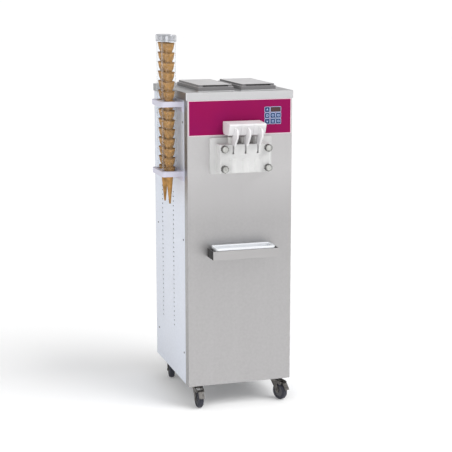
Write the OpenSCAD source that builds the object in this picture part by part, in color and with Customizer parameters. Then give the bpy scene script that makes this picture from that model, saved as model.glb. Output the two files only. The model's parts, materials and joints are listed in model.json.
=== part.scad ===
// Floor-standing soft serve machine: two flavours and a twist, with a cone dispenser on its left side.
// X runs across the front, Y runs from the front to the back, Z is up.
// The parts are drawn round the cabinet (X = 0 is its middle, Y = 0 its front face, Z = 0 the floor),
// and each is then moved so that the origin is the middle of the whole footprint, on the floor.

/* [Cabinet] */
// Width of the cabinet
cab_w = 500; // [490:1:520]
// Depth of the cabinet
cab_d = 600; // [590:1:640]
// Height of the worktop above the floor
top_z = 1480; // [1478:1:1500]
// Height of the cabinet's underside above the floor
body_z = 108; // [108:1:109]
// Thickness of the sheet metal
sheet = 1.5; // [1.2:0.1:2]
// Height of the worktop's skirt
skirt_h = 35; // [30:1:36]
// How far the worktop stands out past each side
top_over = 6; // [4:1:8]
// Depth of the front panel's side returns
return_d = 52; // [48:1:56]

/* [Hoppers] */
// Distance from the middle to each hopper's middle
hopper_x = 102; // [100:1:104]
// Width of each lid
lid_w = 172; // [168:1:174]
// Depth of each lid from front to back
lid_d = 364; // [350:1:366]
// Height of each lid
lid_h = 25; // [22:1:28]

/* [Dispensing head] */
// Width of the head's back plate
head_w = 294; // [290:1:298]
// Width of the head's front block
block_w = 240; // [238:1:244]
// How far the block stands out from the cabinet
block_d = 80; // [80:1:81]
// Distance between neighbouring levers
lever_pitch = 58; // [58:0.5:59]
// Diameter of each piston
piston_dia = 25.9; // [25.84:0.01:25.94]
// Diameter of each clamping knob
knob_dia = 34; // [32:1:35]

/* [Drip tray] */
// Width of the tray holder
holder_w = 314; // [310:1:320]
// How far the tray holder stands out
holder_d = 92; // [90:1:96]

/* [Cone dispenser] */
// Outside diameter of each cone tube
tube_dia = 68; // [67:0.5:69]
// Distance between the two tubes
tube_pitch = 89; // [88:1:94]
// Number of cones in each tube
cone_count = 14; // [10:1:14]

/* [Casters] */
// Diameter of each wheel
wheel_dia = 80; // [78:1:80]
// Width of each wheel
wheel_w = 27; // [24:1:28]
// How far each wheel trails from its swivel
trail = 32; // [30:1:33]

/* [Hidden] */

// Clearances
gap = 0.5;
run = 0.05;

// Steps in each rounded corner of a free outline
arc_steps = 6;

// Cabinet
half_w = cab_w / 2;
skirt_z = top_z - skirt_h;
post = 25;
post_in = 4;
frame_top = skirt_z - 12;
floor_t = 3;
shelf_z = 640;
saddle_z = 1060;
saddle_y = [150, 420];
saddle_w = 30;

// Side panel vents: two columns of short slots
vent_pitch = 22.4;
vent_rows = 30;
vent_len = 18;
vent_h = 6;
vent_low = 344;
vent_y = [257, 462];
screw_z = [255, 796, 1341];
screw_y = [76, 545];
screw_r = 2.4;
screw_head_r = 4.5;

// Rear panel vents: low ones for the condenser and high ones for the motors
rear_slot = [90, 9];
rear_pitch = 26;

// Worktop and hoppers
hopper_y = 225;
tub_w = 146;
tub_d = 336;
tub_r = 18;
tub_floor = top_z - 182;
rim_h = 4;
rim_w = lid_w + 4;
rim_d = lid_d + 16;
lid_z = top_z + rim_h + gap;
lid_step = 7;
lid_r = 10;
grip_w = 120;
grip_h = 7;
grip_d = 30;
lid_edge = 16;
feed_r = 9;
feed_len = 170;
feed_y = hopper_y + 80;
boss_r = 16;
boss_h = 18;

// Freezing barrels
barrel_x = 62;
barrel_z = 1187;
barrel_r = 50;
barrel_wall = 4;
barrel_end = 330;
flange_plate = 12;
flange_w = 260;
flange_h = 136;
shaft_r = 10;
shaft_end = 362;
dasher_arms = 20;
dasher_arm_w = 10;
motor_y = barrel_end + 14;
motor_r = 46;
gearbox = [100, 62, 100];
motor_len = 210;
cowl_r = 30;
cowl_len = 12;

// Compressor, condenser and fan
can_at = [-70, 250];
can_r = 88;
can_h = 217;
can_foot_r = 11;
coil_size = [360, 52, 300];
coil_y = 520;
fin_pitch = 30;
shroud_w = 320;
shroud_y = 470;
strut_w = 16;
fan_z = 330;
fan_bore = 126;
fan_hub_r = 28;
fan_motor_r = 34;
fan_shaft_r = 5;
blade = [96, 4, 48];
pipe_r = 5;
riser_at = [[-120, 150], [140, 340]];
box_low = [-40, 60, shelf_z + post + floor_t + gap];
box_size = [240, 120, 230];

// Dispensing head
plate_t = 14;
head_low = 1110;
head_top = 1275;
block_low = 1122;
block_top = 1250;
piston_y = -37;
pivot_y = -60;
pivot_z = 1218;
pin_r = 4;
pin_len = 206;
pin_shift = 18;
port_z = 1165;
port_r = 10;
passage_len = 44;
outlet_r = 9;
ring_r = 54.2;
ring_t = 1.4;
slot_w = 9;
slot_low = 1207;
knob_x = 103;
knob_z = [1142, 1232];
knob_len = 22;
stud_r = 4;
stud_end = 10;
bulge_r = 38;
bulge_out = 5;
bulge_top = 1180;
bulge_taper = 14;
lever_x = [-lever_pitch, 0, lever_pitch];

// Levers
web_t = 8;
hub_r = 7.5;
hood_w = lever_pitch - 1;
hood_low = 1293;
hood_top = 1350;
hood_wall = 4.5;
nose = [-107, 1246];
finger_len = 21;
finger_r = 4.5;
finger_neck = 5;
notch_h = 14;
notch_lead = 4;
lever_front = -148;
piston_low = 1146;
piston_top = 1281;

// Control panel
overlay_t = 0.8;
overlay_low = 1283.5;
overlay_top = 1444.5;
overlay_margin = 4.5;
pad_x = 156;
pad_z = 1368;
cell = 27;
key_size = 21;
key_t = 2.4;
display_w = 2 * cell - 6;
display_out = 1.4;
key_cells = [[0, 2], [0, 1], [1, 1], [2, 1], [0, 0], [1, 0], [2, 0]];

// Drip tray
holder_low = 726;
holder_h = 41;
tray_w = 284;
tray_d = 86;
tray_top = 779;
tray_rim = 11;
tray_r = 12;
tray_wall = 2.5;

// Cone dispenser
rack_out = 102;
collar_t = 24;
collar_w = 96;
collar_z = [1094, 1412];
collar_len = 191;
collar_r = 16;
back_t = 6;
back_drop = 22;
tube_x = -half_w - 54;
tube_y = 157.5;
tube_wall = 2;
tube_top = 1708;
cap_top = 1734;
cap_h = 31;
cap_chamfer = 5;
cap_r = tube_dia / 2 + 2.5;
cone_r = 27.5;
cone_cup = 34;
cone_len = 172;
cone_wall = 2.4;
cone_pitch = 43.4;
cone_tip_z = 962;

// Casters
caster_x = 196;
caster_y = [50, 540];
plate_z = body_z - 0.2;
race_r = 25;
crown_z = 90;
axle_r = 4;
leg_t = 3;
leg_x = wheel_w / 2 + 2.5;
caster_turn = [0, 24, -8, 12];
pedal_pivot = [52, 84];

// Middle of the whole footprint
left_end = -half_w - rack_out;
right_end = half_w + top_over;
front_end = lever_front;
back_end = cab_d;
mid_x = (left_end + right_end) / 2;
mid_y = (front_end + back_end) / 2;

$fn = 48;

// ---- Helpers ----

// Moves a part from the cabinet's frame to the object's frame
module placed() {
    translate([-mid_x, -mid_y, 0]) children();
}

// A rectangle with round corners, centred
module rounded_rect(w, h, r) {
    square([w - 2 * r, h], center = true);
    square([w, h - 2 * r], center = true);
    for (sx = [-1, 1], sy = [-1, 1])
        translate([sx * (w / 2 - r), sy * (h / 2 - r)]) circle(r);
}

// A 2D shape drawn in X and Z, made solid from y_front back to y_back
module facing(y_front, y_back) {
    translate([0, y_back, 0]) rotate([90, 0, 0]) linear_extrude(y_back - y_front) children();
}

// A 2D shape drawn in Y and Z, made solid across X and centred on it
module across(width) {
    rotate([90, 0, 90]) linear_extrude(width, center = true) children();
}

// A cylinder along Y from y_front to y_back
module rod_y(r, y_front, y_back) {
    translate([0, y_back, 0]) rotate([90, 0, 0]) cylinder(r = r, h = y_back - y_front);
}

// A cylinder along X, centred
module rod_x(r, width) {
    rotate([0, 90, 0]) cylinder(r = r, h = width, center = true);
}

function unit(v) = v / norm(v);

// Points of an arc of radius r that rounds corner p between its neighbours; just p if r is 0
function round_corner(before, p, after, r) =
    let (a = unit(before - p), b = unit(after - p), half = acos(a * b) / 2,
         centre = p + unit(a + b) * r / sin(half),
         first = p + a * r / tan(half) - centre, last = p + b * r / tan(half) - centre)
    r == 0 ? [p] : [for (k = [0 : arc_steps]) centre + r * unit(first * (arc_steps - k) + last * k)];

// An outline from corners, each given as [across, up, radius]
function rounded_outline(corners) = [
    for (i = [0 : len(corners) - 1])
        let (count = len(corners), before = corners[(i + count - 1) % count], after = corners[(i + 1) % count])
        each round_corner(flat(before), flat(corners[i]), flat(after), corners[i][2])
];

function flat(corner) = [corner[0], corner[1]];

// A box given by its lowest and highest corners
module box(low, high) {
    translate(low) cube(high - low);
}

// ---- Cabinet ----

// Welded tube frame with the floor pan, the mid shelf and the barrel cross-bars
module frame() {
    edge_x = half_w - post_in;
    low_z = body_z + floor_t;
    color("gray") placed() difference() {
        frame_tubes(edge_x, low_z);
        for (p = riser_at)
            translate([p[0], p[1], shelf_z]) cylinder(r = pipe_r + 3, h = 100);
    }
}

// Posts, rails, floor pan, shelf and barrel saddles of the frame
module frame_tubes(edge_x, low_z) {
    back = cab_d - post_in;
    union() {
        // Floor pan and shelf
        for (z = [body_z, shelf_z + post])
            box([-edge_x, post_in, z], [edge_x, back, z + floor_t]);
        // Posts
        for (low_x = [-edge_x, edge_x - post], y = [post_in, back - post])
            box([low_x, y, low_z], [low_x + post, y + post, frame_top]);
        // Rails across and rails from front to back
        for (z = [low_z, frame_top - post], y = [post_in, back - post])
            box([-edge_x, y, z], [edge_x, y + post, z + post]);
        for (low_x = [-edge_x, edge_x - post], z = [low_z, shelf_z, saddle_z, frame_top - post])
            box([low_x, post_in, z], [low_x + post, back, z + post]);
        // Cross-bars with a saddle block under each barrel and each motor
        for (y = saddle_y)
            box([-edge_x, y, saddle_z], [edge_x, y + post, saddle_z + post]);
        for (sx = [-1, 1]) {
            saddle(sx * barrel_x, saddle_y[0], barrel_z - barrel_r - barrel_wall - gap);
            saddle(sx * barrel_x, saddle_y[1], barrel_z - motor_r - gap);
        }
    }
}

// Block on a cross-bar, up to top
module saddle(x, y, top) {
    box([x - saddle_w / 2, y, saddle_z + post], [x + saddle_w / 2, y + post, top]);
}

// Front sheet with a return down each side, an opening for the barrels and cutouts for the keypad
module front_panel() {
    color("lightgray") placed() difference() {
        union() {
            box([-half_w, 0, body_z], [half_w, sheet, skirt_z - gap]);
            for (low_x = [-half_w, half_w - sheet])
                box([low_x, 0, body_z], [low_x + sheet, return_d, skirt_z - gap]);
        }
        facing(-1, sheet + 1) translate([0, barrel_z]) rounded_rect(flange_w + 3, flange_h + 3, 6);
        keypad_cutouts(sheet + 1);
    }
}

// The openings for the keys and the display, through to y_back
module keypad_cutouts(y_back) {
    for (c = key_cells)
        facing(-3, y_back) translate(cell_at(c)) square(key_size + 2 * gap, center = true);
    facing(-3, y_back) translate(display_at())
        square([display_w + 2 * gap, key_size + 2 * gap], center = true);
}

function cell_at(c) = [pad_x + (c[0] - 1) * cell, pad_z + (c[1] - 1) * cell];
function display_at() = [pad_x + cell / 2, pad_z + cell];

// Side sheet with its vent slots and screw holes; side is -1 or 1
module side_panel(side) {
    front = return_d + gap;
    back = cab_d - sheet - gap;
    out = side * half_w;
    skin = side * (half_w - sheet);
    color("aliceblue") placed() difference() {
        box([min(out, skin), front, body_z], [max(out, skin), back, skirt_z - gap]);
        for (y = vent_y, row = [0 : vent_rows - 1])
            translate([side * half_w, y, vent_low + row * vent_pitch])
                across(4 * sheet) {
                    square([vent_len - vent_h, vent_h], center = true);
                    for (s = [-1, 1]) translate([s * (vent_len - vent_h) / 2, 0]) circle(vent_h / 2);
                }
        for (y = screw_y, z = screw_z)
            translate([side * half_w, y, z]) rod_x(screw_r + 0.2, 4 * sheet);
    }
}

module left_panel() {
    side_panel(-1);
}

module right_panel() {
    side_panel(1);
}

// Rear sheet with a field of vent slots for the condenser
module rear_panel() {
    color("lightgray") placed() difference() {
        box([-half_w, cab_d - sheet, body_z], [half_w, cab_d, skirt_z - gap]);
        for (x = [-110, 0, 110]) rear_vents(x, 190, 10);
        for (x = [-70, 70]) rear_vents(x, 1130, 6);
    }
}

// A column of slots through the rear sheet, from low_z up
module rear_vents(x, low_z, rows) {
    for (row = [0 : rows - 1])
        facing(cab_d - 2 * sheet, cab_d + 1) translate([x, low_z + row * rear_pitch])
            rounded_rect(rear_slot[0], rear_slot[1], rear_slot[1] / 2 - 0.1);
}

// Worktop with its skirt and the two hopper openings
module top_plate() {
    color("gainsboro") placed() difference() {
        translate([0, cab_d / 2, skirt_z]) linear_extrude(skirt_h)
            rounded_rect(cab_w + 2 * top_over, cab_d, 4);
        translate([0, cab_d / 2, skirt_z - 1]) linear_extrude(skirt_h + 1 - sheet)
            rounded_rect(cab_w + 2 * top_over - 2 * sheet, cab_d - 2 * sheet, 3);
        for (sx = [-1, 1])
            translate([sx * hopper_x, hopper_y, top_z - 3]) linear_extrude(5)
                rounded_rect(tub_w + 4, tub_d + 4, tub_r);
    }
}

// Pan-head screws of the side panels
module panel_screws() {
    color("silver") placed()
        for (sx = [-1, 1], y = screw_y, z = screw_z)
            translate([sx * half_w, y, z]) rotate([0, sx * 90, 0]) {
                translate([0, 0, run]) cylinder(r = screw_head_r, h = 2);
                translate([0, 0, -2 * sheet]) cylinder(r = screw_r, h = 2 * sheet + 0.1);
            }
}

// ---- Controls ----

// Printed strip across the top of the front, open at the keys and the display
module control_overlay() {
    color("mediumvioletred") placed() difference() {
        facing(-overlay_t, -0.02) translate([0, (overlay_low + overlay_top) / 2])
            rounded_rect(cab_w - 2 * overlay_margin, overlay_top - overlay_low, 2);
        keypad_cutouts(1);
    }
}

// Dark red lens over the display
module display_window() {
    color("darkred") placed()
        facing(-display_out, sheet) translate(display_at()) rounded_rect(display_w, key_size, 1.5);
}

// One key cap, which travels into the panel
module key(index) {
    color("royalblue") placed()
        facing(-key_t, sheet) translate(cell_at(key_cells[index])) rounded_rect(key_size, key_size, 2.5);
}

// ---- Hoppers and lids ----

// Two mix tubs that hang in the worktop, each with a drilled outlet boss
module hoppers() {
    color("silver") placed()
        for (sx = [-1, 1])
            translate([sx * hopper_x, hopper_y, 0]) difference() {
                union() {
                    translate([0, 0, top_z + 0.1]) linear_extrude(rim_h) rounded_rect(rim_w, rim_d, lid_r);
                    translate([0, 0, tub_floor]) linear_extrude(top_z - tub_floor + 1)
                        rounded_rect(tub_w, tub_d, tub_r);
                    translate([-sx * (hopper_x - barrel_x), feed_y - hopper_y, tub_floor - boss_h])
                        cylinder(r = boss_r, h = boss_h + 2);
                }
                translate([0, 0, tub_floor + 2]) linear_extrude(top_z)
                    rounded_rect(tub_w - 4, tub_d - 4, tub_r - 2);
                translate([-sx * (hopper_x - barrel_x), feed_y - hopper_y, tub_floor - 2 * boss_h])
                    cylinder(r = feed_r + run, h = 3 * boss_h);
            }
}

// Air tubes that stand in the hopper outlets and meter the mix
module feed_tubes() {
    color("white") placed()
        for (sx = [-1, 1])
            translate([sx * barrel_x, feed_y, tub_floor - boss_h]) difference() {
                union() {
                    cylinder(r = feed_r, h = feed_len);
                    translate([0, 0, boss_h + 2.5]) cylinder(r = feed_r + 5, h = 8);
                }
                translate([0, 0, -1]) cylinder(r = feed_r - 3, h = feed_len + 2);
            }
}

// Hopper lid: a stepped, hollow moulding with a finger slot in its front edge
module lid(side) {
    color("dimgray") placed() translate([side * hopper_x, hopper_y, lid_z]) difference() {
        union() {
            linear_extrude(lid_edge) rounded_rect(lid_w, lid_d, lid_r);
            linear_extrude(lid_h) rounded_rect(lid_w - 2 * lid_step, lid_d - 2 * lid_step, lid_r - 3);
        }
        translate([0, 0, -1]) linear_extrude(lid_h - 3)
            rounded_rect(lid_w - 2 * lid_step - 7, lid_d - 2 * lid_step - 40, lid_r - 4);
        translate([0, lid_step - lid_d / 2, lid_edge + grip_h / 2])
            cube([grip_w, grip_d, grip_h], center = true);
    }
}

// ---- Freezing unit ----

// Twin freezing cylinders welded to one front flange
module barrels() {
    outer = barrel_r + barrel_wall;
    color("silver") placed() difference() {
        union() {
            facing(0.2, flange_plate) translate([0, barrel_z]) rounded_rect(flange_w, flange_h, 5);
            for (sx = [-1, 1])
                translate([sx * barrel_x, 0, barrel_z]) {
                    rod_y(outer, 1, barrel_end + 8);
                    translate([0, feed_y, 0])
                        cylinder(r = boss_r - 1, h = tub_floor - boss_h - barrel_z - gap);
                }
        }
        for (sx = [-1, 1])
            translate([sx * barrel_x, 0, barrel_z]) {
                rod_y(barrel_r, -1, barrel_end);
                rod_y(shaft_r + run, barrel_end - 1, barrel_end + 10);
                translate([0, feed_y, 0]) cylinder(r = feed_r, h = 200);
            }
        for (sx = [-1, 1], z = knob_z)
            translate([sx * knob_x, 0, z]) rod_y(stud_r + run, -1, flange_plate + 1);
    }
}

// Dasher: a shaft with a spiral of scraper arms joined by two long blades
module dasher(side) {
    start = 20;
    length = barrel_end - 30;
    reach = barrel_r - 3;
    half_arm = dasher_arm_w / 2;
    color("whitesmoke") placed() translate([side * barrel_x, 0, barrel_z]) {
        rod_y(shaft_r, 12, shaft_end);
        for (i = [0 : dasher_arms - 1])
            translate([0, start + i * length / dasher_arms, 0]) rotate([0, side * i * 36, 0])
                box([-reach, 0, -half_arm], [reach, 14, half_arm]);
        for (a = [0, 180])
            rotate([0, a, 0]) box([reach - 6, start, -half_arm], [reach, start + length, half_arm]);
    }
}

// One geared motor behind each barrel, with a socket for the dasher's shaft
module gearmotors() {
    color("slategray") placed()
        for (sx = [-1, 1])
            translate([sx * barrel_x, 0, barrel_z]) difference() {
                union() {
                    translate([-gearbox[0] / 2, motor_y, -gearbox[2] / 2]) cube(gearbox);
                    rod_y(motor_r, motor_y + gearbox[1] - 2, motor_y + motor_len);
                    rod_y(cowl_r, motor_y + motor_len - 5, motor_y + motor_len + cowl_len);
                }
                rod_y(shaft_r + run, motor_y - 1, motor_y + 30);
            }
}

// ---- Refrigeration and electrics ----

// Hermetic compressor can on four feet
module compressor() {
    floor_z = body_z + floor_t + gap;
    color("black") placed() translate([can_at[0], can_at[1], floor_z]) {
        rotate_extrude() polygon([
            [0, 14], [can_r - 10, 14], [can_r, 24], [can_r, can_h - 34], [52, can_h], [0, can_h]
        ]);
        for (a = [45, 135, 225, 315])
            rotate([0, 0, a]) translate([can_r + 6, 0, 0]) {
                cylinder(r = can_foot_r, h = 22);
                box([-30, -14, 30], [14, 14, 34]);
                cylinder(r = 6, h = 34);
            }
        translate([60, -10, 90]) cube([55, 60, 70]);
    }
}

// Finned condenser with the fan's shroud, struts and motor in front of it
module condenser() {
    half_h = coil_size[2] / 2;
    fin_y = coil_y - 8;
    foot_z = body_z + floor_t + gap - fan_z;
    color("silver") placed() translate([0, 0, fan_z]) {
        translate([-coil_size[0] / 2, coil_y, -half_h]) cube(coil_size);
        for (i = [-5.5 : 5.5])
            box([i * fin_pitch - 2, fin_y, 4 - half_h], [i * fin_pitch + 2, coil_y + 1, half_h - 4]);
        difference() {
            box([-shroud_w / 2, shroud_y, -half_h], [shroud_w / 2, fin_y + 1, half_h]);
            rod_y(fan_bore, shroud_y - 1, fin_y + 2);
        }
        difference() {
            union() {
                box([-strut_w / 2, shroud_y - 8, -half_h], [strut_w / 2, shroud_y, half_h]);
                rod_y(fan_motor_r, shroud_y - 50, shroud_y);
            }
            rod_y(fan_shaft_r + run, shroud_y - 15, shroud_y + 1);
        }
        box([-20, coil_y, foot_z], [20, coil_y + 40, 1 - half_h]);
    }
}

// Condenser fan: a hub with five pitched blades on the motor's shaft
module fan() {
    color("white") placed() translate([0, 0, fan_z]) {
        rod_y(fan_hub_r, shroud_y + 3, shroud_y + 35);
        rod_y(fan_shaft_r, shroud_y - 13, shroud_y + 4);
        for (a = [0 : 72 : 359])
            rotate([0, a, 0]) translate([fan_hub_r - 6, shroud_y + 19, 0]) rotate([28, 0, 0])
                translate([0, -blade[1] / 2, -blade[2] / 2]) cube(blade);
    }
}

// Copper lines: suction from the barrels, discharge to the condenser, and liquid back up
module refrigerant_pipes() {
    can_top = body_z + floor_t + can_h + 7;
    can_back = can_at[1] + can_r + 8;
    coil_top = fan_z + coil_size[2] / 2 + 6;
    coil_mid = coil_y + coil_size[1] / 2 - 1;
    suction = riser_at[0];
    liquid = riser_at[1];
    left = -140;
    color("peru") placed() {
        pipe_run([
            [can_at[0], can_at[1], can_top], [can_at[0], can_at[1], 400], [suction[0], suction[1], 430],
            [suction[0], suction[1], 990], [suction[0], 80, 990], [suction[0], 80, 1090]
        ], pipe_r);
        pipe_run([
            [can_at[0], can_back, 300], [left, can_back, 300], [left, can_back, 520],
            [left, coil_mid, 520], [left, coil_mid, coil_top]
        ], pipe_r);
        pipe_run([
            [liquid[0], coil_mid, coil_top], [liquid[0], coil_mid, 540], [liquid[0], liquid[1], 540],
            [liquid[0], liquid[1], 1130]
        ], pipe_r);
    }
}

// A round pipe through the given points, with a brazed ball union at each
module pipe_run(points, r) {
    for (i = [0 : len(points) - 2]) {
        step = points[i + 1] - points[i];
        length = norm(step);
        translate(points[i]) rotate([0, acos(step[2] / length), atan2(step[1], step[0])])
            cylinder(r = r, h = length);
        translate(points[i]) sphere(r + 1);
    }
    translate(points[len(points) - 1]) sphere(r + 1);
}

// Box for the control board, on the mid shelf
module electrical_box() {
    lid = 6;
    color("gray") placed() translate(box_low) {
        cube(box_size);
        translate([lid, -lid, lid]) cube([box_size[0] - 2 * lid, lid + 1, box_size[2] - 2 * lid]);
    }
}

// ---- Dispensing head ----

// White block with three piston bores, three lever slots and an outlet under each bore
module dispensing_head() {
    color("white") placed() difference() {
        union() {
            facing(-plate_t, 0) translate([0, (head_low + head_top) / 2])
                rounded_rect(head_w, head_top - head_low, 8);
            translate([0, 0, block_low]) linear_extrude(block_top - block_low) intersection() {
                translate([0, -block_d / 2 + 15]) rounded_rect(block_w, block_d + 30, 8);
                translate([-block_w, -block_d]) square([2 * block_w, block_d]);
            }
            for (x = lever_x)
                translate([x, -block_d + bulge_r - bulge_out, block_low]) rotate_extrude() polygon([
                    [0, 0], [bulge_r, 0], [bulge_r, bulge_top - block_low],
                    [bulge_r - bulge_out - 2, bulge_top + bulge_taper - block_low],
                    [0, bulge_top + bulge_taper - block_low]
                ]);
        }
        for (x = lever_x) {
            translate([x, piston_y, block_low + 12]) cylinder(r = piston_dia / 2 + run, h = 200);
            translate([x, piston_y, block_low - 1]) cylinder(r = outlet_r, h = 20);
            box([x - slot_w / 2, -block_d - 20, slot_low], [x + slot_w / 2, piston_y, block_top + 1]);
        }
        for (sx = [-1, 1]) {
            translate([sx * barrel_x, 0, port_z]) rod_y(port_r, piston_y, 1);
            translate([sx * barrel_x, 0, barrel_z]) rod_y(ring_r + ring_t + 0.6, -3, 1);
            translate([sx * barrel_x, 0, barrel_z]) rod_y(barrel_r - 10, -9, 1);
        }
        // Passages that feed both flavours to the middle bore
        for (a = [42, 138])
            translate([0, piston_y, port_z]) rotate([0, 90, a]) cylinder(r = port_r - 3, h = passage_len);
        translate([-pin_shift, pivot_y, pivot_z]) rod_x(pin_r + run, pin_len + 4);
        for (sx = [-1, 1], z = knob_z)
            translate([sx * knob_x, 0, z]) rod_y(stud_r + run, -block_d - 1, 1);
    }
}

// Two sealing rings between the head and the barrels
module head_orings() {
    color("black") placed()
        for (sx = [-1, 1])
            translate([sx * barrel_x, -1.5, barrel_z]) rotate([90, 0, 0])
                rotate_extrude() translate([ring_r, 0]) circle(ring_t);
}

// The pin that all three levers turn on
module lever_pin() {
    color("silver") placed()
        translate([-pin_shift, pivot_y, pivot_z]) rod_x(pin_r, pin_len);
}

// Lever: a hood to pull, and a web that passes through the head's slot to the piston
module lever(x) {
    color("white") placed() translate([x, 0, 0]) difference() {
        union() {
            difference() {
                across(hood_w) polygon(rounded_outline([
                    [-97, hood_low, 7], [-119, hood_top - 5, 7], [-12, hood_top, 6], [-12, hood_low, 20]
                ]));
                across(hood_w - 2 * hood_wall) polygon(rounded_outline([
                    [-91, hood_low - 1, 0], [-113, hood_top - 11, 3], [-17, hood_top - 7, 3],
                    [-17, hood_low + 5, 14], [-36, hood_low - 1, 0]
                ]));
            }
            across(web_t) lever_web();
        }
        translate([0, pivot_y, pivot_z]) rod_x(pin_r + run, 2 * web_t);
    }
}

// Side view of the web: up from the pivot, over the head's edge, out to the grip and back into the hood
module lever_web() {
    roof = hood_top - 7;
    polygon([
        [pivot_y - hub_r + 0.5, pivot_z - 2], [pivot_y - 9, block_top], [-block_d - 1, block_top + 2.5], nose,
        [lever_front, hood_low - 1], [lever_front + 1, hood_low + 19], [lever_front + 10, hood_low + 31],
        [-112, hood_low + 37], [-104, roof], [-76, roof], [-76, hood_low - 2], [pivot_y + 7, pivot_z + 6]
    ]);
    translate([pivot_y, pivot_z]) circle(hub_r);
    translate([pivot_y, pivot_z - finger_neck / 2]) square([finger_len, finger_neck]);
    translate([pivot_y + finger_len, pivot_z]) circle(finger_r);
}

// Piston with two seal grooves and a notch for its lever's finger
module piston(x) {
    r = piston_dia / 2;
    color("lightgray") placed() translate([x, piston_y, 0]) difference() {
        translate([0, 0, piston_low]) cylinder(r = r, h = piston_top - piston_low);
        box([-2 * r, -2 * r, pivot_z - notch_h / 2], [2 * r, notch_lead + 0.5, pivot_z + notch_h / 2]);
        box([-2 * r, -2 * r, pivot_z - notch_h / 2 - notch_lead], [2 * r, -notch_lead, pivot_z]);
        for (z = [piston_low + 12, piston_low + 30])
            translate([0, 0, z]) difference() {
                cylinder(r = r + 2, h = 3);
                translate([0, 0, -1]) cylinder(r = r - 2, h = 5);
            }
    }
}

// Clamping knob with its stud; corner is [-1 or 1, 0 or 1]
module knob(corner) {
    flutes = 10;
    r = knob_dia / 2;
    back = -block_d - 6;
    front = back - knob_len;
    color("gray") placed() translate([corner[0] * knob_x, 0, knob_z[corner[1]]]) {
        difference() {
            union() {
                rod_y(r, front + 4, back - 1);
                rod_y(r - 2, front, back);
                rod_y(r - 7, back - 1, -block_d - 0.2);
            }
            for (i = [0 : flutes - 1])
                rotate([0, i * 360 / flutes, 0]) translate([r + 1, 0, 0]) rod_y(3, front - 1, back + 1);
        }
        rod_y(stud_r, back - 2, stud_end);
    }
}

// ---- Drip tray ----

// Folded shelf fixed to the front panel, open at the top
module tray_holder() {
    color("darkgray") placed() difference() {
        box([-holder_w / 2, -holder_d, holder_low], [holder_w / 2, -0.02, holder_low + holder_h]);
        box([sheet - holder_w / 2, sheet - holder_d, holder_low + sheet],
            [holder_w / 2 - sheet, -sheet, holder_low + holder_h + 1]);
    }
}

// White tray with a rim that stands above the holder
module drip_tray() {
    low = holder_low + sheet + 0.3;
    mid = -holder_d / 2;
    color("white") placed() translate([0, mid, 0]) difference() {
        union() {
            translate([0, 0, tray_top - tray_rim]) linear_extrude(tray_rim)
                rounded_rect(tray_w, tray_d, tray_r);
            translate([0, 0, low]) linear_extrude(tray_top - tray_rim - low + 1)
                rounded_rect(tray_w - 14, tray_d - 14, tray_r - 4);
        }
        translate([0, 0, low + tray_wall]) linear_extrude(60)
            rounded_rect(tray_w - 14 - 2 * tray_wall, tray_d - 14 - 2 * tray_wall, tray_r - 6);
        translate([0, 0, tray_top - 3]) linear_extrude(60)
            rounded_rect(tray_w - 2 * tray_wall, tray_d - 2 * tray_wall, tray_r - 2);
    }
}

// ---- Cone dispenser ----

// Two collar brackets that hold the tubes on the side of the cabinet
module cone_rack() {
    color("lavender") placed()
        for (z = collar_z)
            translate([0, tube_y, z]) difference() {
                union() {
                    translate([-half_w - rack_out + collar_w / 2, 0, 0]) linear_extrude(collar_t)
                        rounded_rect(collar_w, collar_len, collar_r);
                    box([-half_w - 30, -collar_len / 2, 0], [-half_w - 2, collar_len / 2, collar_t]);
                    box([-half_w - back_t, -collar_len / 2, -back_drop],
                        [-half_w - 0.1, collar_len / 2, collar_t]);
                }
                for (s = [-1, 1])
                    translate([tube_x, s * tube_pitch / 2, z == collar_z[0] ? 4 : -1])
                        cylinder(r = tube_dia / 2 + run, h = 60);
                for (s = [-1, 1])
                    translate([tube_x, s * tube_pitch / 2, -1]) cylinder(r = cone_r - 2, h = 60);
            }
}

// Two clear tubes
module cone_tubes() {
    low = collar_z[0] + 4.1;
    color([0.9, 0.95, 1, 0.4]) placed()
        for (s = [-1, 1])
            translate([tube_x, tube_y + s * tube_pitch / 2, low]) difference() {
                cylinder(r = tube_dia / 2, h = tube_top - low);
                translate([0, 0, -1]) cylinder(r = tube_dia / 2 - tube_wall, h = tube_top);
            }
}

// Wafer cones nested in each tube, point down
module cones() {
    cup_low = cone_len - cone_cup;
    color("burlywood") placed()
        for (s = [-1, 1], i = [0 : cone_count - 1])
            translate([tube_x, tube_y + s * tube_pitch / 2, cone_tip_z + i * cone_pitch])
                rotate_extrude() polygon([
                    [0, 0], [4, 1], [cone_r - 6, cup_low - 2], [cone_r - 1.5, cup_low + 2],
                    [cone_r, cone_len], [cone_r - cone_wall, cone_len],
                    [cone_r - 1.5 - cone_wall, cup_low + 4], [cone_r - 7 - cone_wall, cup_low], [0, 12]
                ]);
}

// Push-on cap of one tube; s is -1 for the front tube and 1 for the rear one
module tube_cap(s) {
    color([0.85, 0.88, 0.92, 0.6]) placed()
        translate([tube_x, tube_y + s * tube_pitch / 2, 0]) difference() {
            union() {
                translate([0, 0, cap_top - cap_h]) cylinder(r = cap_r, h = cap_h - cap_chamfer + 1);
                translate([0, 0, cap_top - cap_chamfer]) cylinder(r1 = cap_r, r2 = cap_r - 4, h = cap_chamfer);
            }
            translate([0, 0, cap_top - cap_h - 1])
                cylinder(r = tube_dia / 2 + 0.1, h = tube_top - cap_top + cap_h + 1.2);
            translate([0, 0, tube_top]) cylinder(r = cap_r - 8, h = cap_top - tube_top - 4);
        }
}

// ---- Casters ----

// Places a part on a caster: column 0 is left and 1 is right, row 0 is front and 1 is rear
module at_caster(column, row) {
    turn = caster_turn[column + 2 * row];
    placed() translate([(2 * column - 1) * caster_x, caster_y[row], 0]) rotate([0, 0, turn]) children();
}

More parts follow.
